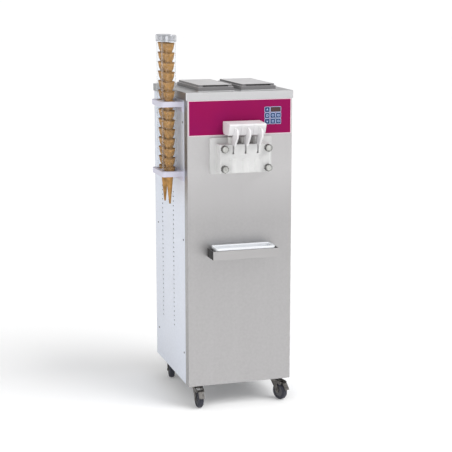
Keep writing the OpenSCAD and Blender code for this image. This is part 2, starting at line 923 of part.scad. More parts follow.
// Top plates with their bearing races and king pins
module caster_plates() {
    color("dimgray")
        for (column = [0, 1], row = [0, 1])
            placed() translate([(2 * column - 1) * caster_x, caster_y[row], 0]) {
                translate([0, 0, plate_z - 3]) linear_extrude(3) rounded_rect(76, 76, 8);
                translate([0, 0, crown_z + 6.2]) cylinder(r = race_r, h = plate_z - 3 - crown_z - 6.2);
                translate([0, 0, crown_z - 3]) cylinder(r = 6, h = 12);
                translate([0, 0, crown_z - 3]) cylinder(r = 9, h = 2.8);
            }
}

// Fork with its crown, two legs and the axle; the wheel trails towards -Y before the caster's turn.
// The front forks also have ears for a brake pedal.
module fork(column, row) {
    braked = row == 0;
    color("silver") at_caster(column, row) {
        difference() {
            translate([0, 0, crown_z]) cylinder(r = race_r + 2, h = 6);
            translate([0, 0, crown_z - 1]) cylinder(r = 6 + run, h = 8);
        }
        for (sx = [-1, 1])
            difference() {
                translate([sx * (leg_x + leg_t / 2), 0, 0]) across(leg_t) fork_leg(braked);
                if (braked)
                    translate([0, -pedal_pivot[0], pedal_pivot[1]]) rod_x(4 + run, 60);
            }
        for (sx = [-1, 1])
            translate([sx * (leg_x + leg_t / 2 - 3), 0, crown_z + 3]) cube([leg_t + 6, 36, 6], center = true);
        translate([0, -trail, wheel_dia / 2]) rod_x(axle_r, 2 * leg_x + 1);
        for (sx = [-1, 1])
            translate([sx * (leg_x + leg_t + 1), -trail, wheel_dia / 2]) rod_x(6, 3);
    }
}

// Outline of one fork leg, seen from the side
module fork_leg(braked) {
    hull() {
        translate([-trail, wheel_dia / 2]) circle(8);
        translate([-22, crown_z + 5]) square([40, 1]);
    }
    if (braked)
        hull() {
            translate([-pedal_pivot[0], pedal_pivot[1]]) circle(7);
            translate([-20, crown_z - 10]) square([10, 16]);
        }
}

// Wheel with a tread, a recessed disc and a hub
module wheel(column, row) {
    r = wheel_dia / 2;
    half = wheel_w / 2;
    hub = 12;
    disc = r - 13;
    color("black") at_caster(column, row)
        translate([0, -trail, r]) rotate([0, 90, 0]) rotate_extrude() polygon([
            [axle_r + run, -half - 1.5], [hub, -half - 1.5], [hub, 4 - half], [disc, 4 - half], [disc, -half],
            [r - 5, -half], [r, 5 - half], [r, half - 5], [r - 5, half],
            [disc, half], [disc, half - 4], [hub, half - 4], [hub, half + 1.5], [axle_r + run, half + 1.5]
        ]);
}

// Brake pedal across the front of a fork
module pedal(column) {
    color("gray") at_caster(column, 0)
        translate([0, -pedal_pivot[0], pedal_pivot[1]]) {
            rod_x(4, 2 * (leg_x + leg_t) + 2);
            across(26) polygon([[-2, 3], [-14, 0], [-32, -28], [-30, -30], [-12, -4], [0, -3]]);
        }
}

frame();
front_panel();
left_panel();
right_panel();
rear_panel();
top_plate();
panel_screws();
control_overlay();
display_window();
key(0);  // key_1
key(1);  // key_2
key(2);  // key_3
key(3);  // key_4
key(4);  // key_5
key(5);  // key_6
key(6);  // key_7
hoppers();
feed_tubes();
lid(-1);  // lid_left
lid(1);  // lid_right
barrels();
dasher(-1);  // dasher_left
dasher(1);  // dasher_right
gearmotors();
compressor();
condenser();
fan();
refrigerant_pipes();
electrical_box();
dispensing_head();
head_orings();
lever_pin();
lever(lever_x[0]);  // lever_left
lever(lever_x[1]);  // lever_centre
lever(lever_x[2]);  // lever_right
piston(lever_x[0]);  // piston_left
piston(lever_x[1]);  // piston_centre
piston(lever_x[2]);  // piston_right
knob([-1, 1]);  // knob_tl
knob([1, 1]);  // knob_tr
knob([-1, 0]);  // knob_bl
knob([1, 0]);  // knob_br
tray_holder();
drip_tray();
cone_rack();
cone_tubes();
cones();
tube_cap(-1);  // cap_front
tube_cap(1);  // cap_rear
caster_plates();
fork(0, 0);  // fork_fl
fork(1, 0);  // fork_fr
fork(0, 1);  // fork_rl
fork(1, 1);  // fork_rr
wheel(0, 0);  // wheel_fl
wheel(1, 0);  // wheel_fr
wheel(0, 1);  // wheel_rl
wheel(1, 1);  // wheel_rr
pedal(0);  // pedal_fl
pedal(1);  // pedal_fr
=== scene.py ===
"""Looks of the soft serve machine.

A material for every part, the finer pieces that the CAD leaves out, and the stage, light and camera.
Lengths are in metres, in the frame of the CAD parts: -Y is the customer's side and +Z is up.
"""

import json
import math
import random

import bmesh
import bpy
from mathutils import Matrix, Vector


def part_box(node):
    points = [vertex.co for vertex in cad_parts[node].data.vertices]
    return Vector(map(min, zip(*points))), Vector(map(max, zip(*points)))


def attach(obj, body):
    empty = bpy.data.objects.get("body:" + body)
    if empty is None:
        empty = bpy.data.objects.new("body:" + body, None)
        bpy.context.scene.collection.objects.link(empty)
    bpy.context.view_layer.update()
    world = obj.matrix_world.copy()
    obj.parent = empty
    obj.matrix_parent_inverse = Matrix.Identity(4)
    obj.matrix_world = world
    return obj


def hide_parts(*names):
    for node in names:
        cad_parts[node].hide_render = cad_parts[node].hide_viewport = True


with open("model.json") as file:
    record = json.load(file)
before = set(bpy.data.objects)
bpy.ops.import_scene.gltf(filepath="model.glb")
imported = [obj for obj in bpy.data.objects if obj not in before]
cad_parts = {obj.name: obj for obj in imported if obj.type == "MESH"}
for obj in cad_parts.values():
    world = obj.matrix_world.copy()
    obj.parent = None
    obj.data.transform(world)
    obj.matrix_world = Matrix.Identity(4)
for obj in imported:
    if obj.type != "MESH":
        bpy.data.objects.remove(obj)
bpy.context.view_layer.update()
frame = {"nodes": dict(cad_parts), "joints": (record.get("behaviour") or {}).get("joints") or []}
nodes = frame["nodes"]

MM = 0.001
KEYS = [f"key_{i}" for i in range(1, 8)]
CASTERS = ("fl", "fr", "rl", "rr")
BRAKED_CASTERS = ("fl", "fr")
KNOBS = ("tl", "tr", "bl", "br")
KNOB_RADIUS = 17 * MM
WHEEL_DISC_RADIUS = 27 * MM
SUNK = 0.1 * MM  # how deep a printed line reaches into the film, so that no gap shows behind it


# ---- Shader helpers ----


class Look:
    """One procedural material, with short ways to add the nodes that the looks below share."""

    def __init__(self, name, roughness=0.5, metallic=0.0, specular=0.5):
        self.material = bpy.data.materials.new(name)
        self.material.use_nodes = True
        self.tree = self.material.node_tree
        self.surface = self.tree.nodes["Principled BSDF"]
        self.place = self.add("ShaderNodeTexCoord").outputs["Object"]
        self.put(Roughness=roughness, Metallic=metallic)
        self.surface.inputs["Specular IOR Level"].default_value = specular

    def add(self, kind, settings=None, **inputs):
        """A new node; spaces in the names of its inputs are written as underscores."""
        node = self.tree.nodes.new(kind)
        for key, value in (settings or {}).items():
            setattr(node, key, value)
        for key, value in inputs.items():
            self.feed(node.inputs[key.replace("_", " ")], value)
        return node

    def feed(self, socket, value):
        """Links value to an input if it comes from a node, and sets it otherwise."""
        if isinstance(value, bpy.types.NodeSocket):
            self.tree.links.new(value, socket)
        else:
            socket.default_value = value

    def put(self, **inputs):
        """Sets or links inputs of the surface shader."""
        for key, value in inputs.items():
            self.feed(self.surface.inputs[key.replace("_", " ")], value)

    def math(self, operation, a, b=0.0):
        node = self.add("ShaderNodeMath", {"operation": operation})
        self.feed(node.inputs[0], a)
        self.feed(node.inputs[1], b)
        return node.outputs[0]

    def noise(self, size, stretch=(1, 1, 1), detail=2.0):
        """Noise with blotches about size metres across, drawn out along each axis by stretch."""
        scale = [1 / (size * s) for s in stretch]
        spread = self.add("ShaderNodeMapping", Vector=self.place, Scale=scale).outputs[0]
        return self.add("ShaderNodeTexNoise", Vector=spread, Scale=1.0, Detail=detail).outputs["Fac"]

    def level(self, fac, low, high, start=0.3, end=0.7):
        """fac from start to end, mapped to low to high."""
        node = self.add("ShaderNodeMapRange", Value=fac, To_Min=low, To_Max=high)
        node.inputs["From Min"].default_value = start
        node.inputs["From Max"].default_value = end
        return node.outputs[0]

    def blend(self, fac, first, second):
        """Colour first where fac is 0 and second where it is 1."""
        node = self.add("ShaderNodeMix", {"data_type": "RGBA"})
        fac_input, first_input, second_input = (node.inputs[i] for i in (0, 6, 7))
        self.feed(fac_input, fac)
        self.feed(first_input, first if not isinstance(first, tuple) else (*first, 1))
        self.feed(second_input, second if not isinstance(second, tuple) else (*second, 1))
        return node.outputs[2]

    def bump(self, height, depth, strength=1.0):
        """Adds relief depth metres high on top of any relief already there."""
        node = self.add("ShaderNodeBump", Height=height, Distance=depth, Strength=strength)
        before = self.surface.inputs["Normal"]
        if before.is_linked:
            self.tree.links.new(before.links[0].from_socket, node.inputs["Normal"])
        self.put(Normal=node.outputs[0])

    def edge(self):
        """How sharp the surface is: above 0.5 on outer edges, below 0.5 in inner corners."""
        return self.add("ShaderNodeNewGeometry").outputs["Pointiness"]

    def worn(self, colour, edge_colour, amount=0.5):
        """colour, rubbed towards edge_colour along the outer edges, in broken patches."""
        sharp = self.level(self.edge(), 0.0, amount, 0.51, 0.58)
        patchy = self.math("MULTIPLY", sharp, self.level(self.noise(0.012), 0.2, 1.0))
        return self.blend(patchy, colour, edge_colour)

    def sideways(self):
        """1 on the faces that look left or right, and 0 elsewhere."""
        return self.math("GREATER_THAN", self.math("ABSOLUTE", self.facing("X")), 0.7)

    def facing(self, axis):
        """The X, Y or Z part of the surface's outward direction, from -1 to 1."""
        normal = self.add("ShaderNodeNewGeometry").outputs["Normal"]
        return self.add("ShaderNodeSeparateXYZ", Vector=normal).outputs[axis]

    def height(self):
        """Metres above the floor."""
        return self.add("ShaderNodeSeparateXYZ", Vector=self.place).outputs["Z"]

    def distance_from(self, centre, axis):
        """Distance of a surface point from the line through centre along axis."""
        off = self.add("ShaderNodeVectorMath", {"operation": "SUBTRACT"})
        self.feed(off.inputs[0], self.place)
        self.feed(off.inputs[1], centre)
        cross = self.add("ShaderNodeVectorMath", {"operation": "CROSS_PRODUCT"})
        self.feed(cross.inputs[0], off.outputs[0])
        self.feed(cross.inputs[1], axis)
        length = self.add("ShaderNodeVectorMath", {"operation": "LENGTH"})
        self.feed(length.inputs[0], cross.outputs[0])
        return length.outputs["Value"]


def shade(colour, factor):
    """The colour made factor times as bright."""
    return tuple(c * factor for c in colour)


# ---- Materials ----


BRUSH_LINE = 0.9 * MM
BRUSH_DEPTH = 0.004 * MM


def drawn_out(grain, times):
    """How much noise is stretched along each axis when the axis in grain is times as long."""
    return tuple(times if axis == grain else 1 for axis in "XYZ")


def brushed_steel(name, colour, roughness, grain, contrast=1.0, painted_top_light=0.0, side=1.0):
    """Steel with fine brushing along the axis in grain, faint bands and the smears of handling.

    painted_top_light is how much paler it is painted about one metre up, a painted highlight, and side is
    the tone of its left and right faces, painted darker as a painted shade.
    """
    look = Look(name, metallic=1.0)
    fine = look.noise(BRUSH_LINE, drawn_out(grain, 300), 2)
    bands = look.noise(0.03, drawn_out(grain, 30), 1)
    smears = look.noise(0.22, detail=3)
    darker, lighter = shade(colour, 1 - 0.018 * contrast), shade(colour, 1 + 0.012 * contrast)
    tone = look.blend(look.level(bands, 0, 1), darker, lighter)
    tone = look.blend(look.level(smears, 0, 0.5), tone, shade(colour, 1 + 0.03 * contrast))
    # painted highlight: the steel is painted paler towards the top, about one metre up
    if painted_top_light:
        tone = look.blend(look.level(look.height(), 0, 1, 0.88, 1.12), tone, shade(colour, 1 + painted_top_light))
    # painted shade: the left and right faces are painted darker than the rest of the steel
    if side != 1.0:
        tone = look.blend(look.sideways(), tone, shade(colour, side))
    look.put(Base_Color=look.worn(tone, shade(colour, 1.2), 0.5))
    handled = look.level(smears, -0.02, 0.02)
    look.put(Roughness=look.math("ADD", look.level(fine, roughness - 0.02, roughness + 0.03), handled))
    look.bump(fine, BRUSH_DEPTH, 0.4)
    return look.material


def side_shaded_steel(name, colour, side_shade_colour, roughness):
    """Brushed steel whose ends, facing left and right, are painted dark and mottled as a painted shade."""
    look = Look(name, metallic=0.9)
    fine = look.noise(BRUSH_LINE, drawn_out("X", 300), 2)
    mottle = look.noise(0.004, detail=3)
    # painted shade: the ends that face left and right are painted nearly black, mottled
    dark = look.blend(look.level(mottle, 0, 1), shade(side_shade_colour, 0.5), shade(side_shade_colour, 1.5))
    look.put(Base_Color=look.blend(look.sideways(), colour, dark))
    look.put(Roughness=look.level(fine, roughness - 0.03, roughness + 0.04))
    look.bump(fine, BRUSH_DEPTH, 0.4)
    return look.material


def powder_coat(name, colour, roughness=0.42):
    """Paint with an orange-peel skin, faint dust and rubbed edges."""
    look = Look(name, roughness)
    dust = look.noise(0.22, detail=5)
    tone = look.blend(look.level(dust, 0, 1), shade(colour, 0.97), shade(colour, 1.02))
    look.put(Base_Color=look.worn(tone, shade(colour, 0.8), 0.5))
    look.put(Roughness=look.level(dust, roughness - 0.05, roughness + 0.06))
    look.bump(look.noise(1.6 * MM, detail=1), 0.03 * MM, 0.5)
    return look.material


def moulded(name, colour, roughness=0.45, stain=0.95):
    """Moulded plastic with a fine skin, clouds of colour down to stain, and slightly burnished edges."""
    look = Look(name, roughness)
    clouds = look.noise(0.05, detail=4)
    tone = look.blend(look.level(clouds, 0, 1), shade(colour, stain), colour)
    look.put(Base_Color=look.worn(tone, shade(colour, 1.12), 0.5))
    look.put(Roughness=look.level(clouds, roughness - 0.06, roughness + 0.05))
    look.bump(look.noise(0.9 * MM, detail=2), 0.03 * MM, 0.6)
    return look.material


def lid_plastic(name, colour, lit_top_colour):
    """Grey moulded plastic, painted pale where it looks up as painted light and scuffed there, with painted
    shade in its inner corners.
    """
    look = Look(name, 0.4)
    scuffs = look.noise(0.02, (3, 1, 1), 5)
    # painted light: faces that look up are painted pale, the pale tone varied by scuffs
    up = look.level(look.facing("Z"), 0, 1, 0.55, 0.95)
    pale = look.blend(look.level(scuffs, 0, 1), shade(lit_top_colour, 0.86), shade(lit_top_colour, 1.08))
    # painted shade: inner corners and recesses are painted nearly black
    grime_and_recess_shade = look.level(look.edge(), 0.9, 0, 0.40, 0.49)
    look.put(Base_Color=look.blend(grime_and_recess_shade, look.blend(up, colour, pale), shade(colour, 0.15)))
    look.put(Roughness=look.level(scuffs, 0.32, 0.46))
    look.bump(look.noise(1.2 * MM, detail=2), 0.04 * MM, 0.6)
    return look.material


def printed_film(name, colour, deep):
    """Matt printed film: a slow drift between two inks, a fine dot screen and a soft sheen."""
    look = Look(name, 0.5, specular=0.12)
    drift = look.noise(0.16, detail=3)
    screen = look.noise(1.1 * MM, detail=0)
    tone = look.blend(look.level(drift, 0, 1), deep, colour)
    tone = look.blend(look.level(screen, 0, 0.15), tone, shade(colour, 1.5))
    look.put(Base_Color=tone, Roughness=look.level(drift, 0.45, 0.55))
    look.bump(screen, 0.01 * MM, 0.4)
    return look.material


def turned_metal(name, colour, centre, radius):
    """A lathe-turned knob, radius wide and facing the customer: fine rings, a bright boss and a rim painted
    dark as a painted shade.
    """
    look = Look(name, metallic=0.85)
    away = look.distance_from(centre, (0, 1, 0))
    ring_pitch = 1.208 * MM
    rings = look.math("SINE", look.math("MULTIPLY", away, 2 * math.pi / ring_pitch))
    # here only real grime: a noise that varies tone and roughness
    grime_and_recess_shade = look.noise(0.006, detail=4)
    tone = look.blend(look.level(grime_and_recess_shade, 0, 1), shade(colour, 0.75), shade(colour, 1.1))
    # painted shade: the knob is painted darker from half its radius out to the rim
    rim = look.level(away, 0.0, 1.0, radius * 0.5, radius * 0.95)
    tone = look.blend(rim, tone, shade(colour, 0.2))
    look.put(Base_Color=look.worn(tone, shade(colour, 1.5), 0.9))
    look.put(Roughness=look.level(grime_and_recess_shade, 0.5, 0.34))
    look.bump(rings, 0.03 * MM, 0.35)
    return look.material


def zinc_plate(name, colour):
    """Zinc plating with its mottled bloom."""
    look = Look(name, metallic=0.9)
    bloom = look.add("ShaderNodeTexVoronoi", Vector=look.place, Scale=260.0).outputs["Distance"]
    cloud = look.noise(0.012, detail=5)
    tone = look.blend(look.level(cloud, 0, 1), shade(colour, 0.62), shade(colour, 1.1))
    look.put(Base_Color=look.worn(tone, shade(colour, 1.7), 0.8))
    look.put(Roughness=look.level(bloom, 0.28, 0.5, 0.0, 0.8))
    look.bump(cloud, 0.06 * MM, 0.4)
    return look.material


def tyre_and_disc(name, rubber, disc, centre, axis, disc_radius):
    """A caster wheel: scuffed rubber outside disc_radius and a moulded disc inside it."""
    look = Look(name)
    radius = look.distance_from(centre, axis)
    outer = look.math("GREATER_THAN", radius, disc_radius)
    dirt = look.noise(0.008, detail=5)
    tread = look.blend(look.level(dirt, 0, 1), rubber, shade(rubber, 2.2))
    hub = look.blend(look.level(dirt, 0, 1), shade(disc, 0.8), disc)
    look.put(Base_Color=look.blend(outer, hub, tread))
    look.put(Roughness=look.level(dirt, 0.48, 0.72))
    look.bump(look.noise(1.4 * MM, detail=3), 0.08 * MM, 0.5)
    return look.material


def clear_acrylic(name, tint, body):
    """Thin clear plastic: see-through face on but for body, bright and mirror-like at grazing angles."""
    look = Look(name)
    scratches = look.level(look.noise(0.8 * MM, drawn_out("Z", 90), 2), 0.02, 0.12)
    facing = look.add("ShaderNodeLayerWeight", Blend=0.32).outputs["Facing"]
    see = look.add("ShaderNodeBsdfTransparent", Color=(*tint, 1)).outputs[0]
    shine = look.add("ShaderNodeBsdfGlossy", Color=(0.95, 0.97, 1, 1), Roughness=scratches)
    haze = look.add("ShaderNodeBsdfDiffuse", Color=(0.9, 0.92, 0.96, 1))
    film = look.add("ShaderNodeMixShader", Fac=0.45)
    look.feed(film.inputs[1], shine.outputs[0])
    look.feed(film.inputs[2], haze.outputs[0])
    amount = look.math("ADD", look.math("MULTIPLY", look.math("POWER", facing, 3.0), 0.6), body)
    mixed = look.add("ShaderNodeMixShader", Fac=amount)
    look.feed(mixed.inputs[1], see)
    look.feed(mixed.inputs[2], film.outputs[0])
    end = look.tree.nodes["Material Output"]
    look.tree.links.new(mixed.outputs[0], end.inputs["Surface"])
    return look.material


def baked_wafer(name, colour):
    """Baked wafer: toasted blotches, crests that brown, a fine crumb and a dry surface."""
    look = Look(name, 0.7, specular=0.15)
    toast = look.noise(0.012, (1, 1, 1.4), 5)
    crumb = look.noise(1.1 * MM, detail=3)
    tone = look.blend(look.level(toast, 0, 1), shade(colour, 0.5), shade(colour, 1.3))
    tone = look.blend(look.level(crumb, 0, 0.35), tone, shade(colour, 1.5))
    crest = look.level(look.edge(), 0.0, 0.65, 0.5, 0.56)
    tone = look.blend(crest, tone, shade(colour, 0.3))
    look.put(Base_Color=tone, Roughness=look.level(crumb, 0.6, 0.8))
    look.bump(crumb, 0.2 * MM, 0.5)
    return look.material


def dark_lens(name, colour):
    """Tinted window with a glossy coat and fine wipe marks."""
    look = Look(name, 0.12)
    wipes = look.noise(0.004, (6, 1, 1), 3)
    look.put(Base_Color=look.blend(look.level(wipes, 0, 1), shade(colour, 0.7), shade(colour, 1.25)))
    look.put(Roughness=look.level(wipes, 0.1, 0.22), Coat_Weight=0.6)
    return look.material


# painted light on the front and rear panels: painted paler towards the top, and their left and right faces
# painted darker as shade
STEEL = brushed_steel("steel_panel", (0.475, 0.467, 0.469), 0.42, "Z", painted_top_light=0.36, side=0.73)
# painted shade: the tray holder's left and right ends are painted nearly black
STEEL_TRAY = side_shaded_steel("steel_tray_holder", (0.50, 0.49, 0.49), (0.03, 0.03, 0.03), 0.42)
# painted shade: the worktop's left and right faces are painted much darker
STEEL_TOP = brushed_steel("steel_worktop", (0.70, 0.70, 0.71), 0.42, "X", side=0.45)
STEEL_INSIDE = brushed_steel("steel_food_parts", (0.62, 0.62, 0.63), 0.3, "Y", 2.0)
PANEL_WHITE = powder_coat("panel_white", (0.77, 0.81, 0.90))
FRAME_GREY = powder_coat("frame_grey", (0.16, 0.165, 0.175), 0.55)
CASTER_BLACK = powder_coat("caster_black", (0.02, 0.02, 0.022), 0.4)
MACHINE_BLACK = powder_coat("machine_black", (0.025, 0.025, 0.028), 0.38)
MOTOR_GREY = powder_coat("motor_grey", (0.10, 0.115, 0.13), 0.5)
MAGENTA = printed_film("magenta_film", (0.29, 0.003, 0.078), (0.25, 0.003, 0.085))
FILM_BORDER = printed_film("film_border", (0.83, 0.68, 0.75), (0.80, 0.64, 0.72))
KEY_BLUE = moulded("key_blue", (0.006, 0.045, 0.17), 0.5, stain=0.7)
KEY_PALE = moulded("key_pale", (0.42, 0.52, 0.76), 0.5)
DISPLAY_RED = dark_lens("display_red", (0.045, 0.003, 0.002))
FOOD_WHITE = moulded("food_white", (0.70, 0.70, 0.695), 0.42, stain=0.92)
LEVER_WHITE = moulded("lever_white", (0.80, 0.79, 0.80), 0.4, stain=0.95)
PISTON_WHITE = moulded("piston_white", (0.78, 0.78, 0.76), 0.3, stain=0.9)
TRAY_WHITE = moulded("tray_white", (0.84, 0.86, 0.89), 0.22, stain=0.95)
# painted light: the lid tops are painted pale
LID_GREY = lid_plastic("lid_grey", (0.19, 0.185, 0.19), (0.70, 0.69, 0.70))
RACK_WHITE = moulded("rack_white", (0.64, 0.63, 0.74), 0.42, stain=0.93)
SEAL_BLACK = moulded("seal_black", (0.015, 0.015, 0.016), 0.6)
COPPER = brushed_steel("drawn_copper", (0.62, 0.26, 0.13), 0.3, "Z", 4.0)
ZINC = zinc_plate("zinc_plate", (0.20, 0.19, 0.18))
PEDAL_ZINC = zinc_plate("pedal_zinc", (0.11, 0.105, 0.10))
SCREW_DARK = zinc_plate("screw_dark", (0.13, 0.125, 0.12))
CLEAR_TUBE = clear_acrylic("clear_tube", (0.975, 0.98, 0.985), 0.015)
CLEAR_CAP = clear_acrylic("clear_cap", (0.80, 0.80, 0.81), 0.25)
WAFER = baked_wafer("baked_wafer", (0.50, 0.272, 0.088))


# ---- Materials and edges of the CAD parts ----


def dress(node, material, edge=0.6, segments=2):
    """Gives a CAD part its material, merges its split corners, and rounds its edges by edge millimetres."""
    part = nodes[node]
    part.data.materials.clear()
    part.data.materials.append(material)
    if "custom_normal" in part.data.attributes:
        part.data.attributes.remove(part.data.attributes["custom_normal"])
    part.data.shade_smooth()
    weld = part.modifiers.new("merge", "WELD")
    weld.merge_threshold = 0.01 * MM
    flat = part.modifiers.new("join_flats", "DECIMATE")
    flat.decimate_type = "DISSOLVE"
    flat.angle_limit = math.radians(0.3)
    if edge:
        bevel = part.modifiers.new("round_edges", "BEVEL")
        bevel.width = edge * MM
        bevel.segments = segments
        bevel.limit_method = "ANGLE"
        bevel.angle_limit = math.radians(32)
        bevel.miter_outer = "MITER_ARC"
    even = part.modifiers.new("even_normals", "WEIGHTED_NORMAL")
    even.keep_sharp = True


def dress_all(names, material, edge=0.6, segments=2):
    for name in names:
        dress(name, material, edge, segments)


dress("front_panel", STEEL, 0.3)
dress("rear_panel", STEEL, 0.3)
dress("tray_holder", STEEL_TRAY, 0.4)
dress("top_plate", STEEL_TOP, 0.5, 3)
dress_all(["left_panel", "right_panel"], PANEL_WHITE, 0.3, 1)
dress_all(["frame", "electrical_box"], FRAME_GREY)
dress("caster_plates", CASTER_BLACK, 0.5)
dress("compressor", MACHINE_BLACK, 2.0, 3)
dress("gearmotors", MOTOR_GREY, 1.5)
dress("condenser", STEEL_INSIDE, 0)
dress("refrigerant_pipes", COPPER, 0)
dress_all(["barrels", "hoppers", "dasher_left", "dasher_right", "lever_pin"], STEEL_INSIDE, 0.5)
dress("fan", FOOD_WHITE, 0.4)
dress("feed_tubes", FOOD_WHITE, 0.4)
dress("head_orings", SEAL_BLACK, 0)
dress("control_overlay", MAGENTA, 0.1, 1)
dress("display_window", DISPLAY_RED, 0.4)
dress_all(KEYS, KEY_BLUE, 0.7, 3)
dress("dispensing_head", FOOD_WHITE, 1.8, 4)
dress_all(["lever_left", "lever_centre", "lever_right"], LEVER_WHITE, 1.2, 3)
dress_all(["piston_left", "piston_centre", "piston_right"], PISTON_WHITE, 0.8)
dress("drip_tray", TRAY_WHITE, 1.0, 3)
dress_all(["lid_left", "lid_right"], LID_GREY, 1.5, 4)
dress("cone_rack", RACK_WHITE, 1.2, 3)
dress("cone_tubes", CLEAR_TUBE, 0.3)
dress_all(["cap_front", "cap_rear"], CLEAR_CAP, 0.8, 3)
dress("panel_screws", SCREW_DARK, 0.6)
dress_all([f"fork_{corner}" for corner in CASTERS], ZINC, 0.5)
dress_all([f"pedal_{corner}" for corner in BRAKED_CASTERS], PEDAL_ZINC, 0.5)


def joint(name):
    """The frame's joint of that name, with its place pos_m and its axis."""
    return next(j for j in frame["joints"] if j["name"] == name)


def dress_wheel(corner):
    """Rubber and disc, parted by a circle round the wheel's own axle."""
    spin = joint(f"wheel_{corner}_spin")
    rubber, disc = (0.018, 0.019, 0.028), (0.11, 0.11, 0.12)
    tyre = tyre_and_disc(f"tyre_{corner}", rubber, disc, spin["pos_m"], spin["axis"], WHEEL_DISC_RADIUS)
    dress(f"wheel_{corner}", tyre, 0.6)


def dress_knob(corner):
    """Turned metal, with its rings round the knob's own stud."""
    turn = joint(f"knob_{corner}_turn")
    metal = turned_metal(f"knob_metal_{corner}", (0.52, 0.52, 0.50), turn["pos_m"], KNOB_RADIUS)
    dress(f"knob_{corner}", metal, 2.5, 4)


for corner in CASTERS:
    dress_wheel(corner)
for corner in KNOBS:
    dress_knob(corner)


# ---- Pieces built here ----


def add_piece(name, mesh, material, body, smooth_angle=35):
    """Makes an object of a bmesh, turns its faces outward and smooths it, and lets it ride on a CAD body."""
    bmesh.ops.recalc_face_normals(mesh, faces=mesh.faces)
    data = bpy.data.meshes.new(name)
    mesh.to_mesh(data)
    mesh.free()
    data.shade_smooth()
    data.set_sharp_from_angle(angle=math.radians(smooth_angle))
    data.materials.append(material)
    piece = bpy.data.objects.new(name, data)
    bpy.context.scene.collection.objects.link(piece)
    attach(piece, body)
    return piece


def add_plate(mesh, outline, y_front, y_back):
    """Adds a closed plate to a bmesh: outline is a list of (x, z), made solid from y_front to y_back."""
    front = [mesh.verts.new((x, y_front, z)) for x, z in outline]
    back = [mesh.verts.new((x, y_back, z)) for x, z in outline]
    mesh.faces.new(front)
    mesh.faces.new(reversed(back))
    count = len(outline)
    for i in range(count):
        j = (i + 1) % count
        mesh.faces.new((front[j], front[i], back[i], back[j]))


def add_band(mesh, outer, inner, y_front, y_back):
    """Adds a closed band to a bmesh, between two outlines with the same number of points."""
    count = len(outer)
    rings = []
    for outline, y in ((outer, y_front), (outer, y_back), (inner, y_back), (inner, y_front)):
        rings.append([mesh.verts.new((x, y, z)) for x, z in outline])
    for a, b in zip(rings, rings[1:] + rings[:1]):
        for i in range(count):
            j = (i + 1) % count
            mesh.faces.new((a[i], a[j], b[j], b[i]))


def rounded_outline(centre, width, height, radius, steps=5):
    """Points (x, z) round a rectangle with round corners."""
    points = []
    corners = ((1, 1, 0), (-1, 1, 90), (-1, -1, 180), (1, -1, 270))
    for sx, sz, start in corners:
        for i in range(steps + 1):
            a = math.radians(start + 90 * i / steps)
            x = centre[0] + sx * (width / 2 - radius) + radius * math.cos(a)
            z = centre[1] + sz * (height / 2 - radius) + radius * math.sin(a)
            points.append((x, z))
    return points


def front_view(node):
    """Centre (x, z), width and height of a part seen from the front, and the y of its front face."""
    low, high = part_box(node)
    centre = ((low.x + high.x) / 2, (low.z + high.z) / 2)
    return centre, high.x - low.x, high.z - low.z, low.y


def film_border():
    """Pale printed edge round the control film."""
    centre, width, height, film_front = front_view("control_overlay")
    inset = 0.2 * MM
    band = 3.2 * MM
    mesh = bmesh.new()
    outer = rounded_outline(centre, width - 2 * inset, height - 2 * inset, 2 * MM)
    inner = rounded_outline(centre, width - 2 * band, height - 2 * band, 1 * MM)
    add_band(mesh, outer, inner, film_front - 0.12 * MM, film_front + SUNK)
    add_piece("film_border", mesh, FILM_BORDER, "cabinet")


def keypad_lines():
    """Pale outlines round each key and round the display."""
    film_front = front_view("control_overlay")[3]
    gap = 0.7 * MM
    line = 2.0 * MM
    mesh = bmesh.new()
    for name in KEYS + ["display_window"]:
        centre, width, height, _ = front_view(name)
        outer = rounded_outline(centre, width + 2 * (gap + line), height + 2 * (gap + line), 4.5 * MM)
        inner = rounded_outline(centre, width + 2 * gap, height + 2 * gap, 3 * MM)
        add_band(mesh, outer, inner, film_front - 0.5 * MM, film_front + SUNK)
    add_piece("keypad_lines", mesh, KEY_PALE, "cabinet")


def disc_outline(centre, radius, count=24, turn=0.0):
    """Points (x, z) evenly round a circle, the first at the angle turn."""
    angles = [turn + 2 * math.pi * i / count for i in range(count)]
    return [(centre[0] + radius * math.cos(a), centre[1] + radius * math.sin(a)) for a in angles]


def key_mark(index, kind):
    """A plain raised symbol on one key: a ring, a frame, three bars or an arrow head."""
    centre, _, _, key_front = front_view(f"key_{index}")
    front = key_front - 0.25 * MM
    back = key_front + 0.2 * MM
    mesh = bmesh.new()
    if kind == "ring":
        add_band(mesh, disc_outline(centre, 5.5 * MM), disc_outline(centre, 3.2 * MM), front, back)
    elif kind == "frame":
        outer = rounded_outline(centre, 11 * MM, 10 * MM, 1.5 * MM)
        inner = rounded_outline(centre, 6 * MM, 5 * MM, 0.8 * MM)
        add_band(mesh, outer, inner, front, back)
    elif kind == "bars":
        for step in (-4, 0, 4):
            bar = rounded_outline((centre[0], centre[1] + step * MM), 11 * MM, 2 * MM, 0.9 * MM, 3)
            add_plate(mesh, bar, front, back)
    else:
        turn = math.pi / 2 if kind == "up" else -math.pi / 2
        add_plate(mesh, disc_outline(centre, 5.8 * MM, 3, turn), front, back)
    add_piece(f"key_{index}_mark", mesh, KEY_PALE, f"key_{index}")


CONES_PER_TUBE = 14
CONE_LENGTH = 172 * MM
CONE_CLEARANCE = 0.35 * MM  # how far a cone stays inside the space of its CAD solid


